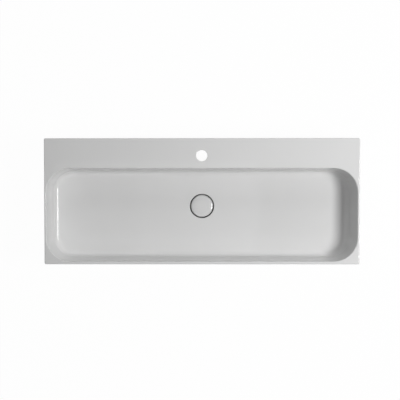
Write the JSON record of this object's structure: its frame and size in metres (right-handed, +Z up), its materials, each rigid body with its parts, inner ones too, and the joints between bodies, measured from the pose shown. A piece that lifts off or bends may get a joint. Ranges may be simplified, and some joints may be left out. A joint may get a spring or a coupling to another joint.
{
  "type": "wall-hung washbasin",
  "caption": "Long rectangular wall-hung washbasin in white glazed ceramic, with a tap ledge, one rounded bowl and a push-open waste under a round ceramic cover.",
  "frame": {"origin": "midway between the two wall bolt holes, on the back face", "axes": "+X along the basin to the right, +Y towards the wall, +Z up; the bowl opens upwards"},
  "size_m": [1, 0.4, 0.21],
  "materials": {
    "ceramic_basin": "gloss white glaze",
    "ceramic_cover": "gloss white glaze",
    "plated_brass": "polished chrome plate on brass",
    "bare_brass": "turned brass",
    "steel": "zinc-bright steel",
    "black_rubber": "matt",
    "foam_pad": "soft foam",
    "white_plastic": "moulded",
    "blue_plastic": "moulded"
  },
  "bodies": {
    "basin": {"basin": "ceramic_basin", "waste_body": "plated_brass", "flange_gasket": "black_rubber", "cone_washer": "black_rubber", "slip_washer": "white_plastic", "back_nut": "bare_brass", "cartridge_sleeve": "white_plastic", "cartridge_cap": "white_plastic", "plunger_seal": "black_rubber", "cartridge_spring": "steel"},
    "cover": {"drain_cover": "ceramic_cover", "cover_pad": "foam_pad", "cover_carrier": "plated_brass", "plug_seal": "black_rubber", "stem_lock_nut": "steel", "cover_stem": "steel", "plunger": "white_plastic", "spring_seat": "steel"},
    "rotor": {"cam_rotor": "blue_plastic"}
  },
  "joints": [
    {"name": "cover_slide", "type": "slide", "parent": "basin", "child": "cover", "axis": [0, 0, 1], "range_m": [0, 0.01], "deforming": ["cartridge_spring"]},
    {"name": "rotor_turn", "type": "hinge", "parent": "cover", "child": "rotor", "pos_m": [0, -0.218, -0.069], "axis": [0, 0, 1], "range_deg": [0, 45]}
  ],
  "couplings": [
    {"joint": "rotor_turn", "follows": "cover_slide", "rad_per_m": 78.54}
  ]
}
